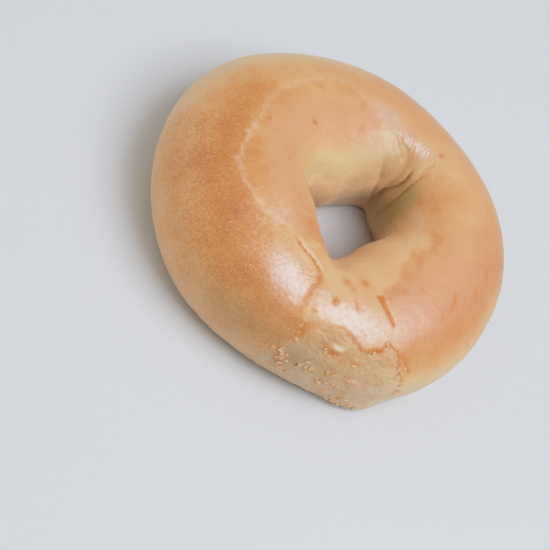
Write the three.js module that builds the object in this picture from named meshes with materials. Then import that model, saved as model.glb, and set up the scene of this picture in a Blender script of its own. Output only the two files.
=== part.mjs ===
// A plain bagel, boiled and baked, lying on its flat base. Millimetres, with +Z up.
// The origin is on the floor under the middle of the part.
// Two angles place every point, both in degrees. "around" turns about the hole, from +X.
// "over" turns about the dough: 0 at the widest line, 90 at the crown, 180 in the hole, 270 under it.
import * as THREE from "three";

// Driving dimensions. A swell is a smooth wave round the ring: its number of lobes, its size,
// and where its first lobe is.
const rim = {
  radius: 55.5,
  swells: [
    { lobes: 2, size: 2.2, at: 10 },
    { lobes: 3, size: 0.7, at: -4 },
    { lobes: 5, size: 0.6, at: -32 },
  ],
};
const throat = {
  radius: 12.7,
  swells: [
    { lobes: 1, size: 3.9, at: 29 },
    { lobes: 2, size: 2.5, at: 56 },
    { lobes: 3, size: 3, at: -55 },
  ],
};

// Short hollows in the hole's wall: where the folds meet, under the near rim, and left of the folds.
// Each comes in between two angles over the dough, and fades under the base.
const hollows = [
  { around: 81.5, width: 9.2, depth: 3.8, from: 165, full: 210 },
  { around: 297, width: 12.5, depth: 2.2, from: 100, full: 150 },
  { around: 140, width: 16.4, depth: 1.1, from: 100, full: 150 },
];
const hollowsFade = { from: 225, to: 300 };

const height = { radius: 36, swells: [{ lobes: 2, size: 1.7, at: 34 }] };

// The section is a squashed round: its widest line lies below the middle, and its underside is flat.
const waist = 0.45; // share of the height
const roundness = { top: 2.1, low: 2.2 }; // 2 is an ellipse, more is squarer
const baseEdge = 45; // how far under the widest line, in degrees, the flat base starts

// Where the rope of dough was closed, the base edge sticks out in a corner.
const corner = { around: 327, width: 11, out: 3.5, from: 300, full: 315, fades: 320, to: 345 };

// The dough is gathered into the far side of the hole. A lobe ends in a step down to the next one,
// a crease is a narrow valley, and each runs from the lip down into the throat.
const lobes = [
  { lip: 113, throat: 80, bend: 0.6, step: 1.5, rise: 0.6, width: 9 },
  { lip: 109, throat: 79, bend: 4, step: 1.4, rise: 0.6, width: 6 },
];
const creases = [
  { lip: 78, throat: 77, bend: 0.1, depth: 2.2, width: 3.2, from: 126 },
  { lip: 72, throat: 69, bend: 0.1, depth: 1.2, width: 3.0, from: 120 },
  { lip: 74, throat: 74, bend: 0.1, depth: 0.8, width: 3.0, from: 100, to: 134 },
];
const gather = { lip: 97, full: 122, throat: 190, fades: 212, ends: 225 };
const creaseStart = 14; // degrees over which a crease gets deeper at its start
const creaseStop = 10; // and shallower at its end
const stepSoftness = 3; // degrees over which a lobe's edge drops

// Soft swellings in the wall: the lip over the folds and one bulging lobe; and dents in the near rim
const swellings = [
  { around: 94, over: 104, width: 18, length: 7, rise: 0.7 },
  { around: 99, over: 127, width: 7, length: 13, rise: 0.7 },
  { around: 190, over: 156, width: 18, length: 18, rise: -0.6 },
  { around: 296, over: 129, width: 11, length: 22, rise: -1.8 },
];

// The pale end of the rope: a shallow patch on the outside, with a ridge of skin along one side.
const patch = { around: 303, over: 18, width: 20, length: 26, rise: -0.6 };
const ridge = { top: 321, foot: 329, from: 12, to: 58, ends: 8, width: 2.6, rise: 0.7 };

// How finely the surface is cut, with the rings crowded towards the folds
const rings = 104;
const crowd = { around: 88, share: 0.5 };
const stretches = [
  { from: 0, to: 90, steps: 11 },
  { from: 90, to: 180, steps: 20 },
  { from: 180, to: 180 + baseEdge, steps: 6 },
  { from: 180 + baseEdge, to: 360 - baseEdge, steps: 5 },
  { from: 360 - baseEdge, to: 360, steps: 7 },
];

const crustColour = 0xd39a63;

const toRadians = THREE.MathUtils.degToRad;
const cosine = (degrees) => Math.cos(toRadians(degrees));
const sine = (degrees) => Math.sin(toRadians(degrees));
const bell = (x) => Math.exp(-x * x);
const fade = (x, from, to) => THREE.MathUtils.smoothstep(x, from, to);
const signedPower = (x, power) => Math.sign(x) * Math.abs(x) ** power;

// The signed turn from one direction to another, between -180 and 180
function turn(from, to) {
  return THREE.MathUtils.euclideanModulo(to - from + 180, 360) - 180;
}

// A size that swells and shrinks round the ring
function swollen({ radius, swells }, around) {
  return swells.reduce((sum, s) => sum + s.size * cosine(s.lobes * (around - s.at)), radius);
}

// The corner's push outwards, along the radius
function cornerPush(around, over) {
  const share = fade(over, corner.from, corner.full) * (1 - fade(over, corner.fades, corner.to));
  return corner.out * bell(turn(corner.around, around) / corner.width) * share;
}

// How far the hollows set the hole's wall back, along the radius
function hollowPush(around, over) {
  const stays = 1 - fade(over, hollowsFade.from, hollowsFade.to);
  return hollows.reduce((sum, h) => {
    const share = bell(turn(h.around, around) / h.width) * fade(over, h.from, h.full);
    return sum + h.depth * share * stays;
  }, 0);
}

// The smooth ring, before its folds
function smoothPoint(around, over) {
  const outer = swollen(rim, around);
  const inner = swollen(throat, around);
  const top = swollen(height, around);
  const widest = waist * top;
  const isTop = sine(over) >= 0;
  const power = 2 / (isTop ? roundness.top : roundness.low);
  const sideways = signedPower(cosine(over), power);
  const upwards = signedPower(sine(over), power);
  const below = widest / sine(baseEdge) ** power;
  const pushed = cornerPush(around, over) + hollowPush(around, over);
  const r = (outer + inner) / 2 + ((outer - inner) / 2) * sideways + pushed;
  const z = widest + (isTop ? top - widest : below) * upwards;
  return new THREE.Vector3(r * cosine(around), r * sine(around), Math.max(z, 0));
}

// The direction straight out of the smooth ring
function outward(around, over) {
  const nudge = 0.5;
  const along = smoothPoint(around + nudge, over).sub(smoothPoint(around - nudge, over));
  const across = smoothPoint(around, over + nudge).sub(smoothPoint(around, over - nudge));
  return along.cross(across).normalize();
}

// How far to one side of a fold's line a point is. The line runs from the lip down into the throat,
// and turns sooner the more it bends.
function sideOf(fold, around, over) {
  const run = Math.max(over - gather.lip, 0) / (gather.throat - gather.lip);
  const share = (1 - Math.exp(-fold.bend * run)) / (1 - Math.exp(-fold.bend));
  return turn(fold.lip + (fold.throat - fold.lip) * share, around);
}

// The folds of dough in the far side of the hole
function folds(around, over) {
  let relief = 0;
  for (const lobe of lobes) {
    const side = sideOf(lobe, around, over);
    const raised = fade(side, -stepSoftness, stepSoftness);
    relief += (lobe.rise * raised - lobe.step * (1 - raised)) * bell(side / lobe.width);
  }
  for (const crease of creases) {
    const starts = fade(over, crease.from, crease.from + creaseStart);
    const stops = crease.to ? 1 - fade(over, crease.to - creaseStop, crease.to) : 1;
    relief -= crease.depth * starts * stops * bell(sideOf(crease, around, over) / crease.width);
  }
  return relief * fade(over, gather.lip, gather.full) * (1 - fade(over, gather.fades, gather.ends));
}

// A soft round swelling, or a dent where it sinks
function spotRise({ around, over, width, length, rise }, atAround, atOver) {
  return rise * bell(turn(around, atAround) / width) * bell(turn(over, atOver) / length);
}

// The ridge of skin beside the pale patch
function ridgeRise(around, over) {
  const line = ridge.top + (ridge.foot - ridge.top) * ((ridge.to - over) / (ridge.to - ridge.from));
  const starts = fade(over, ridge.from, ridge.from + ridge.ends);
  const stops = 1 - fade(over, ridge.to - ridge.ends, ridge.to);
  return ridge.rise * starts * stops * bell(turn(line, around) / ridge.width);
}

// Height of the relief over the smooth ring; the flat base has none
function relief(around, over) {
  if (over > 180 + baseEdge && over < 360 - baseEdge) return 0;
  const spots = [...swellings, patch].reduce((sum, s) => sum + spotRise(s, around, over), 0);
  return folds(around, over) + spots + ridgeRise(around, over);
}

function crustPoint(around, over) {
  const push = relief(around, over);
  const point = smoothPoint(around, over);
  if (push !== 0) point.addScaledVector(outward(around, over), push);
  point.z = Math.max(point.z, 0);
  return point;
}

// The angles at which the section is cut, so that both edges of the base fall on a cut
function sectionCuts() {
  const cuts = [];
  for (const { from, to, steps } of stretches)
    for (let i = 0; i < steps; i++) cuts.push(from + ((to - from) * i) / steps);
  return cuts;
}

// The direction of one cut round the ring
function ringCut(share) {
  const even = 360 * share;
  return even - THREE.MathUtils.radToDeg(crowd.share * sine(even - crowd.around));
}

// A torus whose points are moved onto the crust
function crustGeometry() {
  const cuts = sectionCuts();
  const geometry = new THREE.TorusGeometry(rim.radius, throat.radius, cuts.length, rings);
  const position = geometry.attributes.position;
  const uv = geometry.attributes.uv;
  for (let i = 0; i < position.count; i++) {
    const ring = Math.round(uv.getX(i) * rings) % rings;
    const cut = Math.round(uv.getY(i) * cuts.length) % cuts.length;
    const point = crustPoint(ringCut(ring / rings), cuts[cut]);
    position.setXYZ(i, point.x, point.y, point.z);
  }
  geometry.computeBoundingBox();
  const middle = geometry.boundingBox.getCenter(new THREE.Vector3());
  geometry.translate(-middle.x, -middle.y, 0);
  geometry.computeVertexNormals();
  return geometry;
}

const crust = new THREE.MeshStandardMaterial({ color: crustColour, roughness: 0.55, metalness: 0 });
const bagel = new THREE.Mesh(crustGeometry(), crust);
bagel.name = "bagel";

const part = new THREE.Group();
part.add(bagel);

export default part;
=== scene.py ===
# %% [markdown]
# A plain bagel, boiled and then baked, lies on its flat underside.
# The real one is a rope of dough, closed into a ring. Boiling tightens its skin, and the oven browns it.
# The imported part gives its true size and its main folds. This script makes its fine surface and its colours.

# %% Load the fixed frame
import math
import bpy
import numpy as np
from mathutils import Matrix, Vector, noise


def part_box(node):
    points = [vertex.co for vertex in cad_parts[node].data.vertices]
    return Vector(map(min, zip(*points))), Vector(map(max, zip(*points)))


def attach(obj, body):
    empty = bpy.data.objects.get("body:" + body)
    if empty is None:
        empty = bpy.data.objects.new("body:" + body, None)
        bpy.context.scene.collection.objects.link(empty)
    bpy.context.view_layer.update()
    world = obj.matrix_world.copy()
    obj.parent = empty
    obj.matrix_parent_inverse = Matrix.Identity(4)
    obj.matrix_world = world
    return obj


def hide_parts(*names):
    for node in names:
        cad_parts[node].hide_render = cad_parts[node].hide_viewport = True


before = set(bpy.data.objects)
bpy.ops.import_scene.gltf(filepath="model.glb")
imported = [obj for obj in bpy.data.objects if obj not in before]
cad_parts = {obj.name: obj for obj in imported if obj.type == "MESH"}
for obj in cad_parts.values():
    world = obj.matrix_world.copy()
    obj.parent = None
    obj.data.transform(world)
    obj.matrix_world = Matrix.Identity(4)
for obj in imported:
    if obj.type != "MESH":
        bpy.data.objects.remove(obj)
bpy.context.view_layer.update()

MM = 0.001
bagel_low, bagel_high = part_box("bagel")
print("packed bagel, mm:", [round(s / MM, 1) for s in bagel_high - bagel_low])

# %% [markdown]
# The camera comes first, because every later choice is judged through it.
# It looks down steeply and from the side, so that the far wall of the hole shows with its folds.
# It could be aimed by hand, or by a constraint. Here its three axes are worked out from two turns, how far it
# leans from straight above and how far it rolls, so that each can be changed alone.

# %% Camera
LEAN = math.radians(38)
ROLL = math.radians(48)
DISTANCE = 500 * MM
AIM = Vector((0.54, 1.08, 18)) * MM
AIM_RIGHT, AIM_UP = -18.42 * MM, -17.33 * MM
LENS = 109

level_right = Vector((1, 0, 0))
level_up = Vector((0, math.cos(LEAN), math.sin(LEAN)))
view_back = Vector((0, -math.sin(LEAN), math.cos(LEAN)))
view_right = math.cos(ROLL) * level_right + math.sin(ROLL) * level_up
view_up = -math.sin(ROLL) * level_right + math.cos(ROLL) * level_up

camera_data = bpy.data.cameras.new("camera")
camera_data.lens = LENS
camera_data.sensor_width = 36
camera_data.sensor_fit = "HORIZONTAL"
camera = bpy.data.objects.new("camera", camera_data)
bpy.context.collection.objects.link(camera)
camera.matrix_world = Matrix((view_right, view_up, view_back)).transposed().to_4x4()
camera.matrix_world.translation = AIM + view_back * DISTANCE + view_right * AIM_RIGHT + view_up * AIM_UP
bpy.context.scene.camera = camera
print("camera at, mm:", [round(c / MM) for c in camera.matrix_world.translation])

# %% [markdown]
# Shapes and materials are node trees. They could be wired by hand in Blender's editors, but in code they are
# made the same way each time. Small helpers keep that readable: they add a node and fill its sockets,
# start a node group with named inputs, and end it with what it gives.
# A value that is itself a socket is linked, and any other value is set.

# %% Helpers for node trees
def fill(tree, socket, value):
    if isinstance(value, bpy.types.NodeSocket):
        tree.links.new(value, socket)
    else:
        socket.default_value = value


def add(tree, kind, inputs=None, **settings):
    """Adds a node. inputs maps a socket's name or number to a value or a socket."""
    node = tree.nodes.new(kind)
    for name, value in settings.items():
        setattr(node, name, value)
    for name, value in (inputs or {}).items():
        fill(tree, node.inputs[name], value)
    return node


def new_group(name, kind, inputs, outputs, gives="NodeSocketFloat"):
    """A node group with named inputs and outputs, and the sockets that its inputs give inside it."""
    tree = bpy.data.node_groups.new(name, kind)
    for label, value in inputs.items():
        takes = "NodeSocketInt" if isinstance(value, int) else "NodeSocketFloat"
        tree.interface.new_socket(label, in_out="INPUT", socket_type=takes).default_value = value
    for label in outputs:
        tree.interface.new_socket(label, in_out="OUTPUT", socket_type=gives)
    return tree, tree.nodes.new("NodeGroupInput").outputs


def give(tree, values):
    """Ends a node group with the values that it gives."""
    end = tree.nodes.new("NodeGroupOutput")
    for name, value in values.items():
        fill(tree, end.inputs[name], value)


def calc(tree, operation, *values):
    """A Math node's result."""
    return add(tree, "ShaderNodeMath", dict(enumerate(values)), operation=operation).outputs[0]


def cosine(tree, degrees):
    return calc(tree, "COSINE", calc(tree, "RADIANS", degrees))


def sine(tree, degrees):
    return calc(tree, "SINE", calc(tree, "RADIANS", degrees))


def span(tree, value, start, end, low=0.0, high=1.0, smooth=False):
    """Value's way from start to end, as a number from low to high, held at both ends."""
    kind = "SMOOTHSTEP" if smooth else "LINEAR"
    sockets = {0: value, 1: start, 2: end, 3: low, 4: high}
    return add(tree, "ShaderNodeMapRange", sockets, interpolation_type=kind, clamp=True).outputs[0]


print("helpers:", [helper.__name__ for helper in (fill, add, new_group, give, calc, cosine, sine, span)])

# %% [markdown]
# The ring of dough follows a rule, so Geometry Nodes make it. A torus could be sculpted into the same form,
# but a rule keeps each size a number that can be changed later.
# A circle is swept along a circle, and each point then moves to where the rule puts it.
# Two angles, in degrees, say where a point is. "around" turns about the hole, from +X.
# "over" turns about the dough: 0 at the widest line, 90 at the crown, 180 in the hole, 270 underneath.
# A swell is a smooth wave round the ring, given by its number of lobes, its size and where its first lobe is.
# The rope was uneven, so its outside, its hole and its height each have their own swells.

# %% Sizes of the ring
RIM = {"radius": 55.5, "swells": [(2, 2.2, 10), (3, 0.7, -4), (5, 0.6, -32)]}
THROAT = {"radius": 12.7, "swells": [(1, 3.9, 29), (2, 2.5, 56), (3, 3.0, -55)]}
HEIGHT = {"radius": 36.0, "swells": [(2, 1.7, 34)]}
RINGS = 500
# Steps over the dough, finest where the folds are: degrees covered, steps
STRETCHES = [(135, 80), (105, 96), (30, 10), (90, 10)]
FIRST_CUT = -45
# Where the rings crowd together: lobes, share, direction
CROWDS = [(1, 0.3, 88), (2, 0.3, 115)]
CUTS = sum(steps for degrees, steps in STRETCHES)
print("ring of", RINGS, "by", CUTS, "quads,", 2 * RINGS * CUTS, "triangles")

# %% [markdown]
# Seven swells are needed. Their nodes could be copied each time, but a node group is built once and then
# placed wherever a size needs a wave.

# %% A group for one swell
def swell_group():
    inputs = {"Around": 0.0, "Lobes": 0.0, "Size": 0.0, "Direction": 0.0}
    group, given = new_group("swell", "GeometryNodeTree", inputs, ["Push"])
    turned = calc(group, "SUBTRACT", given["Around"], given["Direction"])
    wave = cosine(group, calc(group, "MULTIPLY", turned, given["Lobes"]))
    give(group, {"Push": calc(group, "MULTIPLY", wave, given["Size"])})
    return group


SWELL = swell_group()


def swollen(tree, around, radius, swells):
    """A radius with its swells added."""
    total = radius
    for lobes, size, direction in swells:
        sockets = {"Around": around, "Lobes": lobes, "Size": size * MM, "Direction": direction}
        wave = add(tree, "GeometryNodeGroup", sockets, node_tree=SWELL)
        total = calc(tree, "ADD", total, wave.outputs["Push"])
    return total


print("swells:", sum(len(line["swells"]) for line in (RIM, THROAT, HEIGHT)))

# %% [markdown]
# Evenly spaced rings would waste points on the plain back. So the rings crowd together near the folds,
# and the steps over the dough are finest inside the hole.
# The dough's section is a little squarer than a circle, which a power of its sine and cosine gives.

# %% Angles and roundness
def ring_angle(tree, share):
    """The direction of a ring, crowded where the detail is."""
    even = calc(tree, "MULTIPLY", share, 360.0)
    angle = even
    for lobes, crowd, direction in CROWDS:
        turned = calc(tree, "MULTIPLY", calc(tree, "SUBTRACT", even, direction), lobes)
        pull = calc(tree, "MULTIPLY", sine(tree, turned), math.degrees(crowd / lobes))
        angle = calc(tree, "SUBTRACT", angle, pull)
    return angle


def cut_angle(tree, share):
    """The angle of a cut over the dough, stretch by stretch."""
    angle = FIRST_CUT
    done = 0
    for degrees, steps in STRETCHES:
        part = span(tree, share, done / CUTS, (done + steps) / CUTS, 0.0, degrees)
        angle = calc(tree, "ADD", angle, part)
        done += steps
    return angle


def squarish(tree, value, roundness):
    """A sine or cosine, changed so that it draws a squarer round: 2 leaves it, more is squarer."""
    size = calc(tree, "POWER", calc(tree, "ABSOLUTE", value), calc(tree, "DIVIDE", 2.0, roundness))
    return calc(tree, "MULTIPLY", calc(tree, "SIGN", value), size)


print("rings crowd at:", [direction for lobes, crowd, direction in CROWDS], "degrees")

# %% [markdown]
# The rule turns a point's two angles into its place: how far it lies from the middle of the hole, and how
# high. It could be one long formula, but short steps with names are easier to read and to change.
# The underside is cut flat by a soft maximum, as dough settles where it lies.

# %% Where the rule puts a point
# Waist is where the dough is widest, as a share of its height. Roundness 2 is a circle, and more is squarer.
# Base Edge is how many degrees below the widest line the flat base starts.
SECTION = {
    "Waist": 0.45,
    "Top Roundness": 2.1,
    "Low Roundness": 2.2,
    "Base Edge": 45.0,
    "Base Softness": 3.5 * MM,
}


def ring_place(tree, given, around, over):
    """Where the rule puts a point."""
    outer = swollen(tree, around, given["Rim Radius"], RIM["swells"])
    inner = swollen(tree, around, given["Throat Radius"], THROAT["swells"])
    top = swollen(tree, around, given["Height"], HEIGHT["swells"])
    widest = calc(tree, "MULTIPLY", top, given["Waist"])

    is_top = calc(tree, "GREATER_THAN", sine(tree, over), 0.0)
    roundness = span(tree, is_top, 0.0, 1.0, given["Low Roundness"], given["Top Roundness"])
    across = squarish(tree, cosine(tree, over), roundness)
    upward = squarish(tree, sine(tree, over), roundness)

    middle = calc(tree, "MULTIPLY", calc(tree, "ADD", outer, inner), 0.5)
    half = calc(tree, "MULTIPLY", calc(tree, "SUBTRACT", outer, inner), 0.5)
    radius = calc(tree, "ADD", middle, calc(tree, "MULTIPLY", half, across))
    above = calc(tree, "SUBTRACT", top, widest)
    edge_drop = squarish(tree, sine(tree, given["Base Edge"]), given["Low Roundness"])
    below = calc(tree, "DIVIDE", widest, edge_drop)
    reach = span(tree, is_top, 0.0, 1.0, below, above)
    height = calc(tree, "ADD", widest, calc(tree, "MULTIPLY", reach, upward))
    height = calc(tree, "SMOOTH_MAX", height, 0.0, given["Base Softness"])

    place = add(tree, "ShaderNodeCombineXYZ", {
        "X": calc(tree, "MULTIPLY", radius, cosine(tree, around)),
        "Y": calc(tree, "MULTIPLY", radius, sine(tree, around)),
        "Z": height,
    })
    return place.outputs[0]


print("section of the dough:", SECTION)

# %% [markdown]
# The tree sweeps one circle along another and keeps each point's two angles. It moves the points to their
# places and stores the angles for later steps. Swept faces point inwards here, so they are turned round.

# %% The tree of the ring
def captured_circle(tree, resolution, radius):
    """A circle, with each point's share of the way round kept as a field."""
    circle = add(tree, "GeometryNodeCurvePrimitiveCircle", {"Resolution": resolution, "Radius": radius})
    keep = tree.nodes.new("GeometryNodeCaptureAttribute")
    keep.capture_items.new("FLOAT", "share")
    way = tree.nodes.new("GeometryNodeSplineParameter")
    fill(tree, keep.inputs["Geometry"], circle.outputs["Curve"])
    fill(tree, keep.inputs["share"], way.outputs["Factor"])
    return keep.outputs["Geometry"], keep.outputs["share"]


def finish_shape(tree, geometry, material):
    """Ends a tree with a shape that is smooth, real and has its material."""
    smooth = add(tree, "GeometryNodeSetShadeSmooth", {"Geometry": geometry})
    real = add(tree, "GeometryNodeRealizeInstances", {"Geometry": smooth.outputs["Geometry"]})
    sockets = {"Geometry": real.outputs["Geometry"], "Material": material}
    give(tree, {"Geometry": add(tree, "GeometryNodeSetMaterial", sockets).outputs["Geometry"]})


def ring_tree():
    sizes = {
        "Rim Radius": RIM["radius"] * MM,
        "Throat Radius": THROAT["radius"] * MM,
        "Height": HEIGHT["radius"] * MM,
        **SECTION,
        "Rings": RINGS,
        "Cuts": CUTS,
    }
    tree, given = new_group("bagel ring", "GeometryNodeTree", sizes, ["Geometry"], "NodeSocketGeometry")
    path, ring_share = captured_circle(tree, given["Rings"], given["Rim Radius"])
    section, cut_share = captured_circle(tree, given["Cuts"], given["Throat Radius"])
    sweep = add(tree, "GeometryNodeCurveToMesh", {"Curve": path, "Profile Curve": section})
    around = ring_angle(tree, ring_share)
    over = cut_angle(tree, cut_share)
    sockets = {"Geometry": sweep.outputs["Mesh"], "Position": ring_place(tree, given, around, over)}
    geometry = add(tree, "GeometryNodeSetPosition", sockets).outputs["Geometry"]
    for name, field in (("around", around), ("over", over)):
        sockets = {"Geometry": geometry, "Name": name, "Value": field}
        geometry = add(tree, "GeometryNodeStoreNamedAttribute", sockets, domain="POINT").outputs["Geometry"]
    outward = add(tree, "GeometryNodeFlipFaces", {"Mesh": geometry})
    finish_shape(tree, outward.outputs["Mesh"], CRUST)
    return tree


CRUST = bpy.data.materials.new("bagel crust")
CRUST.use_nodes = True
bagel_tree = ring_tree()
print("ring tree:", len(bagel_tree.nodes), "nodes")

# %% [markdown]
# The modifier could stay on the object, but the next steps move single points. So a passing object runs the
# tree once, and the result becomes a plain mesh. A modifier knows its inputs by their identifiers.

# %% From the tree to a plain mesh
def made_by_nodes(name, tree, inputs):
    """A plain mesh object made by a Geometry Nodes tree, with some of its inputs set."""
    maker = bpy.data.objects.new("maker", bpy.data.meshes.new("maker"))
    bpy.context.collection.objects.link(maker)
    modifier = maker.modifiers.new("nodes", "NODES")
    modifier.node_group = tree
    sockets = {i.name: i.identifier for i in tree.interface.items_tree if i.in_out == "INPUT"}
    for socket, value in inputs.items():
        modifier[sockets[socket]] = value
    graph = bpy.context.evaluated_depsgraph_get()
    mesh = bpy.data.meshes.new_from_object(maker.evaluated_get(graph), depsgraph=graph)
    bpy.data.objects.remove(maker)
    mesh.name = name
    piece = bpy.data.objects.new(name, mesh)
    bpy.context.collection.objects.link(piece)
    return piece


bagel = made_by_nodes("baked_ring", bagel_tree, {"Rings": RINGS, "Cuts": CUTS})
mesh = bagel.data
print("ring:", len(mesh.vertices), "points,", len(mesh.polygons), "faces")

# %% [markdown]
# The ring is now plain points, with "around" and "over" kept on each of them.
# The marks of one particular bagel follow no rule. A sculptor would press them in by hand, and code does the
# same: each mark is a small function of the two angles, and moves points along the surface's own direction.

# %% Helpers for pressing marks
def read(name, kind="value", width=1):
    """An attribute of the ring as a numpy array."""
    out = np.zeros(len(mesh.vertices) * width)
    mesh.attributes[name].data.foreach_get(kind, out)
    return out.reshape(-1, width) if width > 1 else out


def turn(start, end):
    """The signed turn from one direction to another, between -180 and 180."""
    return (end - start + 180) % 360 - 180


def bell(x):
    return np.exp(-x * x)


def fade(x, start, end):
    share = np.clip((x - start) / (end - start), 0, 1)
    return share * share * (3 - 2 * share)


def window(x, start, full, fades, ends):
    """0 outside start and ends, 1 between full and fades."""
    return fade(x, start, full) * (1 - fade(x, fades, ends))


points = read("position", "vector", 3)
around, over = read("around") % 360, read("over") % 360
level = np.where(over > 270, over - 360, over)
outwards = np.stack([np.cos(np.radians(around)), np.sin(np.radians(around)), 0 * around], -1)


def press(rise):
    """Moves every point out by so many mm along the surface's own direction, but none through the base."""
    mesh.vertices.foreach_set("co", points.ravel())
    mesh.update()
    facing = np.zeros(len(points) * 3)
    mesh.vertex_normals.foreach_get("vector", facing)
    points[:] += rise[:, None] * MM * facing.reshape(-1, 3)
    points[:, 2] = np.maximum(points[:, 2], 0)


print("points to press:", len(points))

# %% [markdown]
# Two changes move the dough sideways. Where the rope was closed, the base edge sticks out in a corner.
# And the wall of the hole is hollowed in three places, deepest where the folds meet.
# Proportional editing could pull them by hand. A bell curve of the angle does the same with numbers.

# %% The corner and the hollows
CORNER = {"around": 327, "width": 11, "out": 3.5}
# direction, width, depth in mm, and the two angles over the dough between which it comes in
HOLLOWS = [(81.5, 9.2, 3.8, 165, 210), (297, 12.5, 2.2, 100, 150), (140, 16.4, 1.1, 100, 150)]

corner_share = window(over, 300, 315, 320, 345)
sideways = CORNER["out"] * bell(turn(CORNER["around"], around) / CORNER["width"]) * corner_share
for direction, width, depth, start, full in HOLLOWS:
    sideways += depth * bell(turn(direction, around) / width) * window(over, start, full, 225, 300)
points += sideways[:, None] * MM * outwards
print("moved sideways: up to", round(sideways.max(), 1), "mm")

# %% [markdown]
# Folds, cracks and torn edges each run along a path on the skin. Cut with a knife tool, they would be lost
# when the ring is made again, so a path is a few places given by their two angles, joined by a smooth curve.
# Every point of the ring gets its distance to one side of the curve, in mm, and its share of the way along.

# %% Paths on the skin
OVER_MM = 0.37  # mm over the dough for each degree
REACH = 25  # degrees over the dough


def ring_mm():
    """Mm round the ring for each degree, at every point."""
    return np.radians(np.hypot(points[:, 0], points[:, 1]) / MM)


def smooth_path(places, steps=6):
    """A smooth curve through a few places, as short straight steps."""
    places = np.array(places, float)
    ends = np.vstack([2 * places[0] - places[1], places, 2 * places[-1] - places[-2]])
    way = np.linspace(0, 1, steps, endpoint=False)[:, None]
    pieces = []
    for before, start, end, after in zip(ends, ends[1:], ends[2:], ends[3:]):
        bend = 2 * before - 5 * start + 4 * end - after + way * (3 * (start - end) + after - before)
        pieces.append(start + 0.5 * way * (end - before + way * bend))
    return np.vstack(pieces + [places[-1:]])


def trail(places, reach=REACH):
    """Each point's distance from a path in mm, above 0 on its left, and its share of the way along the path.
    Left is towards lower "around" where the path climbs over the dough.
    Points further off than the reach, in degrees over the dough, count as far away."""
    path = smooth_path(places)
    scale = ring_mm()
    side, share = np.full(len(points), 100.0), np.zeros(len(points))
    near = np.flatnonzero((level > path[:, 1].min() - reach) & (level < path[:, 1].max() + reach))
    nearest = np.full(len(near), 1000.0)
    for i, (start, end) in enumerate(zip(path, path[1:])):
        x, y = turn(start[0], around[near]) * scale[near], (level[near] - start[1]) * OVER_MM
        step_x, step_y = (end[0] - start[0]) * scale[near], (end[1] - start[1]) * OVER_MM
        part = np.clip((x * step_x + y * step_y) / (step_x ** 2 + step_y ** 2), 0, 1)
        x, y = x - part * step_x, y - part * step_y
        distance = np.hypot(x, y)
        closer = distance < nearest
        nearest = np.where(closer, distance, nearest)
        hand = np.where(step_x * y > step_y * x, 1, -1)
        side[near] = np.where(closer, hand * distance, side[near])
        share[near] = np.where(closer, (i + part) / (len(path) - 1), share[near])
    return side, share


print("a path reaches", round(REACH * OVER_MM, 1), "mm over the dough")

# %% [markdown]
# Round marks need only a place and a size. Their sizes are in mm over the surface, so that a mark keeps its
# shape wherever it is. Soft noise, taken in space and not over the angles, makes marks and lines ragged.

# %% Spots and noise on the skin
def spot(direction, height, width, length):
    """A soft round spot, 1 in its middle: its place, and its size in mm round the ring and over the dough."""
    along = turn(direction, around) * ring_mm() / width
    across = turn(height, over) * OVER_MM / length
    return bell(np.hypot(along, across))


def spots(places):
    """Spots added up, each with its strength as its last number."""
    return sum(strength * spot(*place) for *place, strength in places)


def unevenness(size, seed):
    """Soft noise between about -1 and 1 over the surface, with lumps of the given size in mm."""
    offset = Vector((seed * 17.3, seed * 5.1, seed * 9.7))
    return np.array([noise.noise(Vector(p) / (size * MM) + offset) for p in points]) * 1.6


wobble = 0.35 * unevenness(2.2, 3)
print("wobble, mm:", np.round([wobble.min(), wobble.max()], 2))

# %% [markdown]
# The rope's end was tucked into the far side of the hole, so there the dough lies in folds.
# A fold is a cleft between two round rolls: a sharp line with a soft shoulder on each side.
# At some folds one roll also lies over the other, so the dough steps down beyond the line.
# Real rolls could be modelled and joined, but one skin with clefts in it has no seams to hide.

# %% Folds in the far wall
# Places are (around, over), from the lip down into the throat. Sizes are in mm, with the left one
# on the side of lower "around". A fold is full between two shares of its way, and fades to its ends.
# The last number is how strongly shade is painted into the colour of its cleft.
FOLDS = [
    {"path": [(106, 112), (102, 124), (96, 137), (90, 150), (86, 161), (83, 173), (80, 195), (79, 222)],
     "depth": 1.2, "left": 1.9, "right": 1.6, "step": 0.8, "full": (0.5, 0.85), "damp": 0.3},
    {"path": [(97, 110), (92, 115), (87, 121), (83, 132), (80, 147), (78, 175), (78, 205)],
     "depth": 1.0, "left": 2.2, "right": 1.8, "step": 0.9, "full": (0.55, 0.8), "damp": 0.4},
    {"path": [(79, 125), (76, 135), (74, 144), (73.5, 153), (75, 165), (78, 185), (79, 215)],
     "depth": 2.2, "left": 1.1, "right": 1.0, "step": 0.0, "full": (0.3, 0.85), "damp": 0.5},
    {"path": [(72, 114), (71, 124), (70, 134), (68, 151), (66, 165), (66, 190), (67, 210)],
     "depth": 1.1, "left": 1.1, "right": 1.0, "step": 0.0, "full": (0.35, 0.7), "damp": 0.4},
    {"path": [(75, 106), (74, 113), (73.5, 122), (72, 132)],
     "depth": 0.45, "left": 0.9, "right": 0.8, "step": 0.0, "full": (0.4, 0.6), "damp": 0.4},
    {"path": [(105, 101), (102, 105.5), (98.5, 110), (95, 115), (92, 119), (89, 125), (86, 132)],
     "depth": 0.5, "left": 1.5, "right": 0.7, "step": 0.5, "full": (0.3, 0.6), "damp": 0.65},
]
STEP_REACH = 2.6
CREASE_WIDTH = 0.7


def cleft(x):
    """The valley where two round rolls touch: 1 in its sharp bottom, 0 from a distance of 1 on."""
    x = np.clip(np.abs(x), 0, 1)
    return 1 - np.sqrt(2 * x - x * x)


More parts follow.
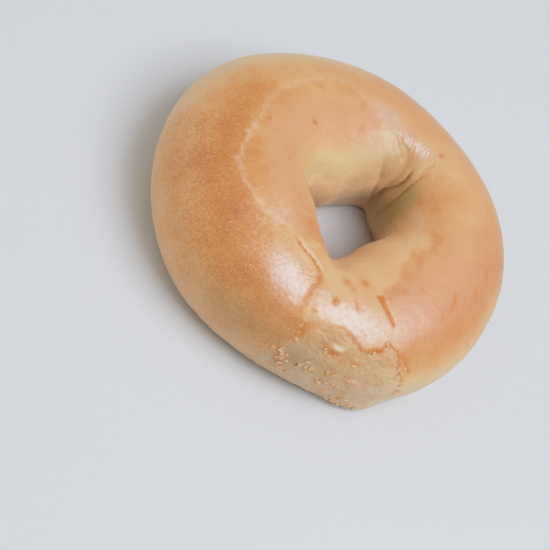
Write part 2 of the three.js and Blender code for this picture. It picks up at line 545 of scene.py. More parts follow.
rise, painted_crease_shade = 0 * over, 0 * over
for fold in FOLDS:
    side, way = trail(fold["path"])
    valley = np.where(side > 0, cleft(side / fold["left"]), cleft(side / fold["right"]))
    low_side = fade(side, -0.3, 0.4) * bell(side / STEP_REACH)
    share = window(way, 0, fold["full"][0], fold["full"][1], 1)
    rise -= (fold["depth"] * valley + fold["step"] * low_side) * share
    # Painted shade: the colour darkens along each cleft, where the rolls shade it
    painted_crease_shade = np.maximum(painted_crease_shade, fold["damp"] * bell(side / CREASE_WIDTH) * share)
print("folds:", len(FOLDS), "deepest", round(-rise.min(), 1), "mm")
press(rise)

# %% [markdown]
# Round swellings and dents finish the hole: a roll that bulges between two folds, the glossy lip above them,
# and the near rim, which sinks where the rope's skin was stretched. An inflating brush would do for each,
# but a list of spots is easier to change.

# %% Swellings and dents
# place (around, over), size in mm (around, over), rise in mm
SWELLINGS = [
    (99, 124, 2.0, 7.0, 0.3),
    (94, 103, 7.0, 2.6, 0.5),
    (86, 136, 1.4, 5.0, 0.4),
    (190, 156, 5.0, 6.6, -0.6),
    (296, 129, 3.6, 8.0, -1.8),
    (303, 18, 19.0, 9.6, -0.6),
]
press(spots(SWELLINGS))
print("swellings:", len(SWELLINGS))

# %% [markdown]
# Above the folds the skin is gathered like a drawn purse, in many short wrinkles side by side.
# They repeat, so one formula makes them: a row of small rolls that lean the same way, unevenly tall.

# %% The comb of wrinkles at the lip
COMB = {"from": 80, "to": 122, "fade": 3, "spacing": 2.5, "lean": 0.5, "rise": 0.2, "length": 3.2}
LIP = [(124, 84), (115, 90), (110, 93), (104, 98), (96, 104), (89, 107), (83, 108), (77, 105), (73, 100)]

lip, lip_way = trail(LIP)
comb_place = (around + COMB["lean"] * (over - 105)) / COMB["spacing"] + 1.1 * unevenness(4, 1)
comb_teeth = np.cos(np.pi * comb_place) ** 2 - 0.5
start, end, soft = COMB["from"], COMB["to"], COMB["fade"]
comb_share = bell(lip / COMB["length"]) * window(around, start - soft, start + soft, end - soft, end + soft)
press(COMB["rise"] * comb_teeth * comb_share * np.clip(0.8 + 1.2 * unevenness(3, 2), 0, 2))
print("wrinkles at the lip:", round((end - start) / COMB["spacing"]))

# %% [markdown]
# The glazed skin ends in a small ledge beside the hole, the flap. Lower down it tore away in the oven and
# left a dull patch below a ragged edge, the tear. Between them is a crack, a wedge that closes downwards.
# A pale line, the loop, shows how far the skin was stretched over the top.

# %% Four lines on the skin
# Places (around, over) along each
FLAP = [(261, 96), (267, 94), (273, 93), (278, 94), (284, 91), (287, 88), (288, 82), (286, 75), (287, 70),
        (286, 63), (287, 57), (286, 49)]
TEAR = [(296, 50), (299, 55), (303, 58), (308, 57), (311, 51), (314, 46), (318, 48), (321, 51), (322.5, 56),
        (325, 53), (327, 48), (328, 38), (329, 26), (331, 13)]
CRACK = [(320, 95), (322.7, 85), (324.4, 77), (325.7, 69)]
LOOP = [(262, 98), (258, 94), (248, 85), (240, 79), (232, 75), (221, 73), (209, 80), (198, 85), (190, 84),
        (178, 82), (164, 79), (151, 75), (142, 73), (134, 75), (128, 82), (121, 89), (115, 98), (109, 110)]
PATCH_EDGE = [(281, -40), (285, -15), (288, 5), (290, 25), (293, 41)] + TEAR + [(334, -8), (337, -35)]

ragged = 0.3 * unevenness(1.1, 11)
flap, flap_way = trail(FLAP)
flap += 0.5 * wobble + ragged
flap_share = window(flap_way, 0.0, 0.15, 0.75, 1.0)
by_hole = 1 - fade(flap_way, 0.35, 0.5)
flap_bits = flap_share * (by_hole + (1 - by_hole) * np.clip(0.2 + 1.6 * unevenness(0.9, 15), 0, 1))

tear, tear_way = trail(TEAR)
tear += 0.8 * wobble + 1.3 * ragged
tear_share = window(tear_way, 0.1, 0.3, 0.8, 1.0) * (0.35 + 0.65 * fade(tear_way, 0.28, 0.42))

CRACK_TOP, CRACK_END = 1.05, 0.3  # half widths in mm
crack, crack_way = trail(CRACK)
crack += 0.4 * ragged
crack_width = CRACK_TOP + (CRACK_END - CRACK_TOP) * crack_way
crack_share = window(crack_way, 0.0, 0.06, 0.9, 1.0)

loop, loop_way = trail(LOOP, 200)
loop_share = window(loop_way, 0.0, 0.08, 0.9, 1.0)
loop_line = loop_share * bell((loop + 2 * wobble) / 0.8) * np.clip(0.6 + 0.5 * unevenness(1.4, 4), 0, 1)
loop_line *= 0.4 + 0.6 * window(around, 180, 205, 262, 268)
print("places on the lines:", [len(path) for path in (FLAP, TEAR, CRACK, LOOP)])

# %% [markdown]
# Each line has a low relief, in the mesh and not only in bump, so that its edges catch the light.
# Beside the flap run two rolls with a groove between them, the tear is a ledge with a groove at its foot,
# the crack is cut in, and the loop is a slight ridge.

# %% Relief along the lines
# rise in mm, distance from the line in mm, half width in mm
FLAP_ROLLS = [(0.1, -0.9, 0.9), (-0.1, 0.1, 0.6), (0.16, 1.3, 0.6)]
TEAR_LEDGE, TEAR_GROOVE, CRACK_DEPTH, LOOP_RIDGE = 0.28, 0.12, 0.3, 0.06  # mm

rolls = sum(height * bell((flap - place) / width) for height, place, width in FLAP_ROLLS)
rise = flap_share * by_hole * rolls
ledge = fade(tear, -0.5, 0.5) * bell(tear / 2.2)
rise += tear_share * (TEAR_LEDGE * ledge - TEAR_GROOVE * bell((tear + 0.8) / 0.7))
rise -= crack_share * CRACK_DEPTH * bell(crack / crack_width)
rise += LOOP_RIDGE * loop_line
press(rise)
print("relief along the lines, mm:", round(rise.min(), 2), "to", round(rise.max(), 2))

# %% [markdown]
# Short scars are made the same way from a list: pale ridges where the skin folded up a little,
# and orange strokes where it split.

# %% Scars
# path of places (around, over), half width in mm, rise in mm, how strongly it is split (below 0: paler)
SCARS = [
    ([(250, 111), (254, 119), (258, 129)], 0.6, 0.22, -0.18),
    ([(272, 99), (276, 107), (278, 117)], 0.5, 0.2, -0.15),
    ([(41, 165), (50, 176)], 0.6, 0.3, -0.12),
    ([(104, 102), (99, 105.5), (94, 109), (89, 113)], 0.5, 0.25, -0.1),
    ([(286.3, 73), (286, 69)], 0.8, 0.0, 0.42),
    ([(286.2, 65), (287, 61)], 0.7, 0.0, 0.42),
    ([(287.5, 57), (287, 52)], 0.5, 0.0, 0.3),
    ([(69, 82), (71, 88)], 0.4, 0.12, -0.15),
    ([(64, 99), (67, 106)], 0.5, 0.1, -0.12),
    ([(328.5, 47), (331, 42)], 0.55, -0.12, 0.45),
    ([(329, 40.5), (331.5, 38)], 0.5, -0.12, 0.4),
    ([(331, 36), (332.5, 30)], 0.55, -0.12, 0.45),
    ([(330, 27), (331.5, 20)], 0.5, -0.12, 0.4),
    ([(307.5, 87), (309.5, 76)], 0.45, -0.08, 0.36),
    ([(304, 70), (307, 66)], 0.35, -0.06, 0.22),
    ([(311, 62), (315, 58)], 0.4, -0.08, 0.25),
    ([(359.3, 77), (355, 69)], 0.7, 0.0, 0.3),
    ([(354.5, 73), (352, 66)], 0.6, 0.0, 0.2),
    ([(349, 71), (347, 65)], 0.6, 0.0, 0.2),
    ([(10, 68), (6, 61)], 0.6, 0.0, 0.26),
    ([(20, 68), (16, 63)], 0.6, 0.0, 0.26),
    ([(324, 98), (327, 90)], 0.5, 0.1, 0.22),
]
rise, scarred = 0 * over, 0 * over
for places, half_width, height, change in SCARS:
    side, way = trail(places)
    scar = bell((side + ragged) / half_width) * window(way, -0.4, 0.4, 0.6, 1.4)
    rise += height * scar
    scarred += change * scar
press(rise)
print("scars:", len(SCARS))

# %% [markdown]
# Steam raised a few blisters and pimples. Each is a soft spot that is pushed out, and at the base edge
# a few pits are pushed in. Small balls joined to the ring would show a seam round each.

# %% Blisters and pimples
# place (around, over), size in mm (around, over), rise in mm
BLISTERS = [
    (305.5, 38, 2.2, 1.0, 1.0),
    (313.5, 34, 1.5, 0.6, 0.45),
    (298.5, 75.5, 0.8, 0.9, 0.5),
    (290.5, 46, 0.6, 0.5, 0.3),
    (292, 61, 0.6, 0.6, 0.3),
    (324, 90.5, 0.8, 0.7, 0.5),
    (76, 98, 0.6, 0.6, 0.15),
    (169, 111, 0.6, 0.5, 0.25),
    (315, 11, 1.4, 0.6, 0.5),
    (298, 7, 0.8, 0.6, 0.35),
    (289, 9, 1.1, 0.5, 0.4),
    (292, 3, 0.6, 0.9, 0.35),
    (294, -11, 0.9, 0.6, 0.4),
    (308, -1, 1.0, 0.6, -0.45),
    (318, -20, 1.3, 0.7, -0.5),
    (332, 6, 1.0, 0.6, -0.4),
]
press(spots(BLISTERS))
print("blisters:", len(BLISTERS))

# %% [markdown]
# The skin is a little uneven everywhere, and rough on the torn patch and along the base edge, where the dough
# stuck to the tray. A Displace modifier could do this, but here each kind of roughness keeps to its own area.

# %% Uneven skin
# size of the lumps in mm, rise in mm, seed of the noise
SKIN_LUMPS = [(14, 0.14, 5), (3.2, 0.05, 6)]
PATCH_LUMPS = [(2.6, 0.12, 7), (1.2, 0.07, 8)]
BASE_LUMPS = [(3, 0.2, 9), (1.3, 0.1, 10)]


def lumps(layers):
    return sum(rise * unevenness(size, seed) for size, rise, seed in layers)


patch_side = trail(PATCH_EDGE, 200)[0]
edge_softness = 0.4 + 1.8 * (1 - fade(around, 291, 299))
edge_softness += 2.5 * fade(around, 324, 330) * (1 - fade(level, 15, 35))
patch = 1 - fade((patch_side + wobble) / edge_softness, -1.2, 1.0)
patch *= window(around, 270, 282, 335, 350)
base_edge = window(over, 312, 318, 326, 336)
rise = lumps(SKIN_LUMPS) + patch * lumps(PATCH_LUMPS) + base_edge * lumps(BASE_LUMPS)
press(rise * np.where(over < 310, 1, 1 - 0.4 * fade(over, 310, 315)))
print("uneven by, mm:", round(rise.min(), 2), "to", round(rise.max(), 2))

# %% [markdown]
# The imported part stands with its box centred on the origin, so the ring is centred the same way.

# %% Centre the ring
middle = (points.min(0) + points.max(0)) / 2
points[:, :2] -= middle[:2]
points[:, 2] -= points[:, 2].min()
mesh.vertices.foreach_set("co", points.ravel())
mesh.update()
print("moved by, mm:", np.round(-middle[:2] / MM, 2), "size, mm:", np.round(np.ptp(points, axis=0) / MM, 1))

# %% [markdown]
# Baking colours the skin by how hot and how dry each place got. So the colour is not one paint. A picture
# could be painted for it, but soft masks on the points need none: code writes them, and the material mixes
# its tones by them. "bake" goes from raw dough at 0 to dark crust at 1. Most of it follows the height over
# the dough, and it differs in the open, on the shaded far side and inside the loop.

# %% How far the skin is baked
def profile(value, knots):
    """Straight lines between (value, result) knots."""
    places, results = zip(*knots)
    return np.interp(value, places, results)


outside = fade(loop + 1.5 * wobble, -0.9, 0.9)
golden = profile(level, [
    (-60, 0.28), (-35, 0.30), (-15, 0.36), (0, 0.46), (15, 0.57), (30, 0.64), (45, 0.73), (62, 0.76),
    (76, 0.70), (90, 0.52), (105, 0.46), (150, 0.45),
])
shaded = profile(level, [
    (-60, 0.28), (10, 0.28), (30, 0.20), (40, 0.28), (50, 0.40), (60, 0.50), (72, 0.54), (84, 0.50),
    (95, 0.44), (150, 0.45),
])
stretched = profile(level, [(70, 0.68), (80, 0.62), (90, 0.56), (100, 0.50), (115, 0.48), (150, 0.40)])
bake = golden + (shaded - golden) * window(around, 25, 60, 165, 200)
bake = bake * outside + stretched * (1 - outside)
print("baked share of the skin:", np.round(np.percentile(bake, (5, 50, 95)), 2))

# %% [markdown]
# Wide soft spots make some areas darker and others paler. Most stand for uneven heat in the oven, but the
# darker spots low on the left are painted shade. A noise could vary the tone as well, but these areas belong
# to this one bagel.

# %% Darker and paler areas
# place (around, over), size in mm (around, over), change of the baking
# Painted shade: the spots at (274, 0), (283, 14) and (270, 17) darken the lower left
TONES = [
    (75, 70, 26, 16, -0.04),
    (15, 80, 16, 12, -0.03),
    (80, 58, 14, 6, -0.10),
    (25, 58, 26, 12, -0.06),
    (5, 30, 18, 9, -0.14),
    (340, 50, 16, 7, -0.06),
    (20, 105, 16, 8, 0.06),
    (338, 102, 12, 6, 0.14),
    (55, 118, 7, 8, 0.14),
    (201, 50, 14, 8, -0.12),
    (213, 42, 12, 12, 0.05),
    (223, 78, 6, 8, 0.05),
    (274, 0, 9, 9, 0.04),
    (290, 56, 3, 4, -0.14),
    (140, 40, 30, 8, -0.06),
    (300, 104, 11, 7, -0.08),
    (270, 118, 8, 8, 0.12),
    (193, 15, 13, 12, -0.26),
    (345, 5, 24, 11, -0.27),
    (325, -5, 14, 11, -0.20),
    (342, 54, 8, 3, -0.06),
    (318, 66, 8, 4, -0.12),
    (298, 60, 7, 4, -0.10),
    (283, 14, 9, 6, 0.10),
    (140, 84, 14, 6, -0.10),
    (162, 82, 7, 5, -0.08),
    (354, 68, 16, 10, 0.09),
    (183, 71, 6, 5, 0.06),
    (148, 99, 7, 6, 0.05),
    (175, 29, 10, 7, -0.06),
    (270, 17, 8, 7, 0.06),
]
bake += spots(TONES)
print("areas:", len(TONES))

# %% [markdown]
# The heat doesn't reach into the hole, so its wall is pale. The crust gives way to it along a line that rises
# and falls round the hole: quickly on the right, where a browner band lies above the line, and softly on the
# left and in front. A second material would end too sharply there, so the wall only changes the baking.

# %% The pale wall of the hole
# (around, over) along the line
WALL_LINE = [
    (0, 118), (16, 124), (31, 134), (42, 139), (57, 147), (68, 140), (75, 122), (80, 109), (92, 103),
    (104, 101), (112, 104), (118, 112), (126, 124), (140, 131), (153, 134), (174, 138), (191, 146),
    (225, 150), (250, 148), (268, 142), (285, 132), (302, 114), (324, 100), (340, 112), (350, 112),
    (360, 118),
]
# (around, baking of the wall)
WALL_BAKE = [
    (0, 0.30), (40, 0.30), (80, 0.28), (95, 0.24), (120, 0.17), (180, 0.15), (220, 0.22), (260, 0.36),
    (300, 0.34), (340, 0.36), (360, 0.26),
]
# place (around, over), size in mm (around, over), change of the baking. The darkening spots are painted
# shade, in the pocket of the folds and on the right wall; the paler ones are painted light where the wall
# turns under at the bottom of the hole.
WALL_PAINTED_SHADE_AND_LIGHT = [
    (68, 146, 4, 6, 0.2),
    (97, 110, 3.2, 4, 0.24),
    (87, 120, 3, 4, 0.3),
    (178, 172, 9, 6, -0.2),
    (40, 182, 8, 6, -0.2),
    (91, 176, 5, 8, -0.25),
    (79, 164, 4, 7, -0.12),
]
BAND_BAKE = 0.13

to_wall = over - profile(around, WALL_LINE) + 6 * unevenness(7, 13) + 5 * wobble
wall_softness = 4 + 5 * window(around, 70, 80, 108, 115) + 9 * window(around, 110, 130, 290, 320)
pale = fade(to_wall / wall_softness, -1, 1) * (over < 270)
from_right = turn(322, around)
on_right = fade(from_right, 0, 10) * (1 - fade(from_right, 93, 108))
bake += BAND_BAKE * bell((to_wall + 7) / 6) * on_right * np.clip(0.5 + 0.9 * unevenness(4, 14), 0, 1.2)
bake += pale * (profile(around, WALL_BAKE) + spots(WALL_PAINTED_SHADE_AND_LIGHT) - bake)
print("baked share with the wall:", np.round(np.percentile(bake, (5, 50, 95)), 2))

# %% [markdown]
# The torn patch was baked less than the skin round it, and least at its foot. Where the skin split, a thin
# orange crust formed: the mask "split" is strong on small marks and scars, and weak along the flap and the
# tear and over two wide areas. The pale scars take some of the baking away instead.

# %% Small marks and splits
# place (around, over), size in mm (around, over), how strongly it is split
MARKS = [
    (185, 70, 2.0, 1.2, 0.24),
    (239, 71, 1.2, 1.4, 0.28),
    (223, 61, 1.8, 1.4, 0.06),
    (186, 50, 1.6, 1.0, 0.10),
    (152, 82, 1.6, 1.2, 0.12),
    (128, 90, 1.2, 1.2, 0.14),
    (127, 108, 1.2, 1.6, 0.16),
    (196, 90, 0.5, 0.5, 0.60),
    (169, 111, 0.7, 0.6, 0.45),
    (212, 113, 0.4, 0.4, 0.30),
    (200, 88, 1.6, 1.4, 0.12),
    (212, 86, 1.3, 1.8, 0.16),
    (219, 84, 1.2, 2.2, 0.16),
    (226, 88, 1.6, 1.8, 0.12),
    (262, 118, 1.6, 1.2, 0.16),
    (302, 97, 1.5, 1.4, 0.32),
    (306, 93, 1.0, 1.0, 0.26),
    (313.5, 103, 1.1, 1.3, 0.38),
    (298, 75, 1.0, 1.1, 0.46),
    (336, 95, 1.0, 0.9, 0.16),
    (345, 91, 1.2, 0.9, 0.14),
    (358, 29, 0.7, 0.7, 0.30),
    (292, 36, 1.3, 1.6, 0.34),
    (290, 27, 1.1, 1.2, 0.28),
    (292, 44, 1.0, 1.4, 0.26),
    (287.2, 84.5, 1.2, 1.8, 0.46),
    (319.5, 49, 1.9, 1.0, 0.4),
    (320, 42, 4.0, 4.0, 0.12),
    (297, 44, 4.0, 3.0, 0.08),
    (304.5, 33, 2.4, 0.9, 0.3),
    (76, 98, 0.9, 0.8, 0.35),
]
SPLIT_AREAS = [
    (339, 55, 11, 6, 0.3),
    (357, 68, 13, 9, 0.17),
]
SPLIT_GAIN = 2.2
# (around, baking of the patch)
PATCH_BAKE = [(283, 0.50), (300, 0.46), (312, 0.42), (322, 0.32), (335, 0.18)]

patch_bake = profile(around, PATCH_BAKE) + 0.24 * fade(level, -15, 40) - 0.08 - 0.16 * spot(297, 33, 5, 5)
bake += 0.85 * patch * (patch_bake - bake)
marked = scarred + spots(MARKS)
bake += np.minimum(marked, 0) - 0.08 * loop_line
split = SPLIT_GAIN * np.maximum(marked, 0) + spots(SPLIT_AREAS)
split += 0.1 * flap_bits * bell((flap + 0.2) / 0.6) + 0.15 * tear_share * bell((tear + 0.2) / 0.5)
print("marks:", len(MARKS), "split at most:", round(split.max(), 1))

# %% [markdown]
# Three masks change the tone of the skin. The first is the pinker cast of thin skin over the top, with a
# painted sheen at the lip and beside the far glazed skin. The second is an olive darkening: painted shade in
# the clefts of the folds and round them, on the hole's right wall and low on the left, and a few olive spots
# round the torn patch. The third is the whitish cast of stretched skin on the loop, with painted highlights
# beside the flap, on a roll between the folds, on the glazed skins and at the lip.

# %% Pink skin, painted shade and painted highlights
# place (around, over), size in mm (around, over), strength
# Pinker skin on the right, and painted sheen beside the far glazed skin at (340, 76) and (352, 80)
FLUSH_AND_SHEEN_SPOTS = [
    (14, 77, 28, 15, 0.9),
    (352, 80, 13, 8, 0.6),
    (95, 60, 26, 14, 0.7),
    (340, 76, 12, 6, 0.6),
]
# Painted shade in and round the folds, on the right wall and low on the left; olive spots round the torn patch
OLIVE_AND_SHADE_SPOTS = [
    (62, 170, 5.5, 12, 0.9),
    (76, 195, 5, 9, 0.5),
    (83, 127, 4, 6, 0.5),
    (94, 120, 3.5, 8, 0.35),
    (68, 146, 4, 6, 0.5),
    (272, 12, 12, 8, 0.5),
    (293, 20, 9, 9, 0.3),
    (75, 102, 4, 5, 0.25),
    (300, 14, 6, 5, 0.3),
    (317, 39, 7, 4, 0.3),
    (118, 135, 5, 6, 0.2),
    (294, 1, 6, 5, 0.2),
]
# Painted highlights on the roll between two folds
ROLL_HIGHLIGHT_SPOTS = [
    (94, 121, 0.7, 3.0, 0.5),
    (97, 123, 3, 6, 0.25),
]

lip_share = bell(lip / 2.9) * window(around, 74, 82, 116, 125)
stretched_top = (1 - outside) * window(over, 80, 102, 115, 140)
# Pinker stretched skin over the top, and painted sheen at the lip
flush = 0.8 * stretched_top + spots(FLUSH_AND_SHEEN_SPOTS) + 0.7 * lip_share
damp = np.maximum(spots(OLIVE_AND_SHADE_SPOTS), painted_crease_shade)
# The loop's pale line is the skin's own; the lines beside the flap and at the lip are painted highlights
thin = np.maximum.reduce([
    0.65 * loop_line,
    0.85 * flap_share * by_hole * bell((flap - 1.2) / 0.5),
    0.6 * spot(253, 93, 6, 3.5) * np.clip(0.5 + unevenness(1.2, 12), 0, 1),
    0.4 * bell((to_wall - 2.5) / 2.5) * on_right * np.clip(unevenness(3, 16), 0, 1),
    spots(ROLL_HIGHLIGHT_SPOTS),
    0.55 * lip_share,
])
print("damp share:", round(float(damp.mean()), 2), "thin share:", round(float(thin.mean()), 2))

# %% [markdown]
# The mask "glaze" is the shine. It is strong on two stretched skins, the near one before the flap and the
# far one beyond the tear, weaker at the lip and on the crown, and nearly gone on the torn patch.
# Their colour also gets paler where they shine, a painted highlight. High blisters shine too and get a
# painted highlight on their tops, and just below every blister and pit an orange rim is painted as its shadow.
# "coarse" says where the skin's fine structure shows most, on the left.

# %% Glazed skin
near_start = around + 0.4 * (over - 72)
near_skin = (1 - fade(flap, -0.8, 0.2)) * fade(near_start, 257, 270) * spot(276.5, 73, 13, 10)
far_skin = fade(around, 287, 293) * fade(tear, 0.1, 1.0) * spot(312, 69, 20, 10)
far_skin *= 1 - crack_share * bell(crack / 1.2)
far_shine = 0.62 - 0.4 * spot(324, 70, 9, 9)
# Painted highlight: the glazed skins are paler and pinker in colour
thin = np.maximum.reduce([thin, 0.36 * near_skin, 0.4 * far_skin])

glaze = 0.3 * window(level, 0, 40, 100, 125) + 0.35 * lip_share
glaze += np.maximum(0.63 * near_skin, far_shine * far_skin) - 0.25 * spot(346, 56, 13, 8)
glaze *= (1 - 0.8 * patch) * (1 - 0.8 * flap_share * bell((flap - 0.1) / 0.8))
HIGH_BLISTER = 0.3  # mm
for direction, height, width, length, rise in BLISTERS:
    # Painted shadow: an orange rim just below each blister and pit
    split += 0.6 * min(1, abs(rise) / 0.4) * spot(direction, height - 2, width + 0.3, 0.8 * length + 0.3)
    if rise > HIGH_BLISTER:
        top = spot(direction, height, width + 0.3, length + 0.3)
        glaze += 0.8 * top
        patch *= 1 - 0.8 * top
        # Painted highlight on the blister's top
        thin = np.maximum(thin, 0.6 * spot(direction + 1, height + 3, 0.7 * width, 0.8 * length))
coarse = 0.55 + 0.45 * outside * window(around, 175, 210, 275, 300)
print("glazed share:", round(float((glaze > 0.5).mean()), 3))

# %% [markdown]
# The finest wrinkles run down from the lip, and slantwise over the two glazed skins. They are too fine for
# the mesh, so the material draws them. The points only say how far each lies across and along the wrinkles.

# %% Directions of the fine wrinkles
LIP_LENGTH = 33  # mm
WRINKLES_MIDDLE = (280, 72)
SLANT = (0.8, 0.6)

from_middle = turn(WRINKLES_MIDDLE[0], around) * ring_mm(), (level - WRINKLES_MIDDLE[1]) * OVER_MM
across = SLANT[0] * from_middle[1] - SLANT[1] * from_middle[0]
along = SLANT[0] * from_middle[0] + SLANT[1] * from_middle[1]
at_lip = lip_share > 0.01
across, along = np.where(at_lip, lip_way * LIP_LENGTH, across), np.where(at_lip, lip, along)
wrinkled = np.maximum(near_skin, 0.5 * far_skin) + 0.3 * spot(346, 80, 14, 8)
print("points at the lip:", int(at_lip.sum()))

# %% [markdown]
# A material can't run this code, but it can read a number that is kept on each point. So every mask becomes
# an attribute of the mesh. It moves with the surface, and needs no unwrapping and no picture.

# %% Masks on the points
def keep(name, values, low=0.0, high=1.0):
    mask = mesh.attributes.new(name, "FLOAT", "POINT")
    mask.data.foreach_set("value", np.clip(values, low, high).astype(np.float32))


MASKS = {
    "bake": bake, "glaze": glaze, "patch": patch, "flush": flush, "thin": thin, "damp": damp,
    "split": split, "coarse": coarse, "gathered": lip_share, "wrinkled": wrinkled,
}
for name, values in MASKS.items():
    keep(name, values)
WRINKLE_REACH, LINE_REACH = 40, 5  # mm
keep("across", across, -WRINKLE_REACH, WRINKLE_REACH)
keep("along", along, -WRINKLE_REACH, WRINKLE_REACH)
for name, side, share in (
    ("flap", flap, flap_bits), ("tear", tear, tear_share), ("crack", crack / crack_width, crack_share),
):
    keep(name + "_side", side, -LINE_REACH, LINE_REACH)
    keep(name + "_share", share)
print("masks:", [a.name for a in mesh.attributes if a.name not in ("position", "sharp_face")])

# %% [markdown]
# Where the dough stuck to the tray and tore, crumbs of crust cling to it, close together in some places.
# Each could be set by hand, but one more mask that says how many lie where is quicker to change.

# %% Where the crumbs cling
# place (around, over), size in mm (around, over), share of the full density
CRUMB_PLACES = [
    (289, 9, 2.2, 1.0, 1.0),
    (292, 1, 1.6, 2.2, 0.8),
    (295, -11, 2.4, 1.6, 0.8),
    (300, 4, 1.8, 1.2, 0.5),
    (308, -1, 1.2, 0.8, 0.5),
    (315, 11, 1.5, 0.7, 0.7),
    (318, -20, 1.5, 0.8, 0.8),
    (320, -30, 6.0, 0.9, 0.9),
    (332, 6, 1.0, 0.9, 0.8),
    (304, 34, 1.8, 0.8, 0.5),
    (318, 47, 2.0, 0.7, 0.6),
    (330, 38, 0.7, 4.5, 0.6),
    (329, 20, 0.6, 3.0, 0.5),
    (286.5, 56, 0.5, 2.6, 0.5),
    (290, 30, 1.6, 3.0, 0.25),
    (312, 10, 12.0, 9.0, 0.05),
]
keep("crumbs", spots(CRUMB_PLACES))
print("places with crumbs:", len(CRUMB_PLACES))

# %% [markdown]
# Crumbs repeat, so Geometry Nodes scatter them: one small flake, made lumpy by a noise, is put on random
# points of the skin, turned and sized at random, and lies flat. A fixed seed gives the same crumbs each time.
# Each crumb also takes over how baked its place is.

# %% Crumbs on the torn patch
CRUMB_SEED = 7


def crumb_tree():
    sizes = {
        "Crumbs Per Square Mm": 1.15,
        "Crumb Radius": 0.72 * MM,
        "Lumpiness": 0.7 * MM,
        "Lump Size": 0.6 * MM,
        "Seed": CRUMB_SEED,
    }
    tree, given = new_group("scattered crumbs", "GeometryNodeTree", sizes, ["Geometry"], "NodeSocketGeometry")
    skin = add(tree, "GeometryNodeObjectInfo", {"Object": bagel}).outputs["Geometry"]
    share = add(tree, "GeometryNodeInputNamedAttribute", {"Name": "crumbs"}, data_type="FLOAT")
    density = calc(tree, "MULTIPLY", given["Crumbs Per Square Mm"], 1 / MM ** 2)
    density = calc(tree, "MULTIPLY", density, share.outputs["Attribute"])
    sockets = {"Mesh": skin, "Density": density, "Seed": given["Seed"]}
    places = add(tree, "GeometryNodeDistributePointsOnFaces", sockets).outputs

    ball = add(tree, "GeometryNodeMeshIcoSphere", {"Radius": given["Crumb Radius"], "Subdivisions": 3})
    scale = calc(tree, "DIVIDE", 1.0, given["Lump Size"])
    cloud = add(tree, "ShaderNodeTexNoise", {"Scale": scale, "Detail": 1.0}).outputs["Color"]
    shift = add(tree, "ShaderNodeVectorMath", {0: cloud, 1: (0.5, 0.5, 0.5)}, operation="SUBTRACT").outputs[0]
    shift = add(tree, "ShaderNodeVectorMath", {0: shift, "Scale": given["Lumpiness"]}, operation="SCALE")
    sockets = {"Geometry": ball.outputs["Mesh"], "Offset": shift.outputs[0]}
    crumb = add(tree, "GeometryNodeSetPosition", sockets).outputs["Geometry"]

    sockets = {0: (0, 0, 0), 1: (0.5, 0.5, 2 * math.pi), "Seed": given["Seed"]}
    spin = add(tree, "FunctionNodeRandomValue", sockets, data_type="FLOAT_VECTOR").outputs[0]
    spin = add(tree, "FunctionNodeEulerToRotation", {"Euler": spin}).outputs["Rotation"]
    sockets = {"Rotation": places["Rotation"], "Rotate By": spin}
    turned = add(tree, "FunctionNodeRotateRotation", sockets, rotation_space="LOCAL").outputs["Rotation"]
    sockets = {0: (0.6, 0.35, 0.2), 1: (1.9, 1.1, 0.5), "Seed": given["Seed"]}
    sized = add(tree, "FunctionNodeRandomValue", sockets, data_type="FLOAT_VECTOR").outputs[0]
    sockets = {"Points": places["Points"], "Instance": crumb, "Rotation": turned, "Scale": sized}
    instances = add(tree, "GeometryNodeInstanceOnPoints", sockets).outputs["Instances"]
    finish_shape(tree, instances, CRUMB)
    return tree


CRUMB = bpy.data.materials.new("bagel crumbs")
CRUMB.use_nodes = True
crumbs = made_by_nodes("patch_crumbs", crumb_tree(), {"Seed": CRUMB_SEED})
FACES_EACH = 320  # triangles of one crumb
crumb_faces = len(crumbs.data.polygons)
print("crumbs:", crumb_faces // FACES_EACH, "triangles:", crumb_faces)

# %% [markdown]
# The skin's own fine structure is needed on the crust and on its crumbs, so it is a node group.
# It gives a mottle that varies the colour over a few millimetres, finer freckles, a grain of tiny wrinkles,
# the pale dots that small steam bubbles leave in a boiled skin, and separate flecks for the torn dough.

# %% Shared group for the skin's fine structure
def skin_group():
    sizes = {"Mottle Size": 8.0, "Freckle Size": 1.3, "Grain Size": 0.45, "Bubble Spacing": 0.9}
    outputs = ("Mottle", "Freckle", "Grain", "Bubbles", "Flecks")
    group, given = new_group("baked skin", "ShaderNodeTree", sizes, outputs)
    place = group.nodes.new("ShaderNodeTexCoord").outputs["Object"]
    values = {}
    for name in ("Mottle", "Freckle", "Grain"):
        scale = calc(group, "DIVIDE", 1 / MM, given[name + " Size"])
        cloud = add(group, "ShaderNodeTexNoise", {"Vector": place, "Scale": scale, "Detail": 1.0})
        values[name] = calc(group, "SUBTRACT", cloud.outputs["Fac"], 0.5)
    scale = calc(group, "DIVIDE", 1 / MM, given["Bubble Spacing"])
    cells = add(group, "ShaderNodeTexVoronoi", {"Vector": place, "Scale": scale})
    chosen = add(group, "ShaderNodeSeparateColor", {"Color": cells.outputs["Color"]}).outputs["Red"]
    size = span(group, chosen, 0.4, 1.0, 0.0, 0.36)
    values["Bubbles"] = span(group, calc(group, "SUBTRACT", size, cells.outputs["Distance"]), 0.0, 0.2)
    scale = calc(group, "DIVIDE", 0.6 / MM, given["Freckle Size"])
    sockets = {"Vector": place, "Scale": scale, "Detail": 3.0, "Roughness": 0.6}
    cloud = add(group, "ShaderNodeTexNoise", sockets).outputs["Fac"]
    values["Flecks"] = span(group, cloud, 0.56, 0.66, smooth=True)
    give(group, values)
    return group


SKIN = skin_group()
print("shared group:", SKIN.name, [s.name for s in SKIN.interface.items_tree])

# %% [markdown]
# The thin orange lines of the flap, the tear and the crack are finer than the mesh. So the points only hold
# the distance to each path, which varies evenly between them, and a second group draws the line from it.

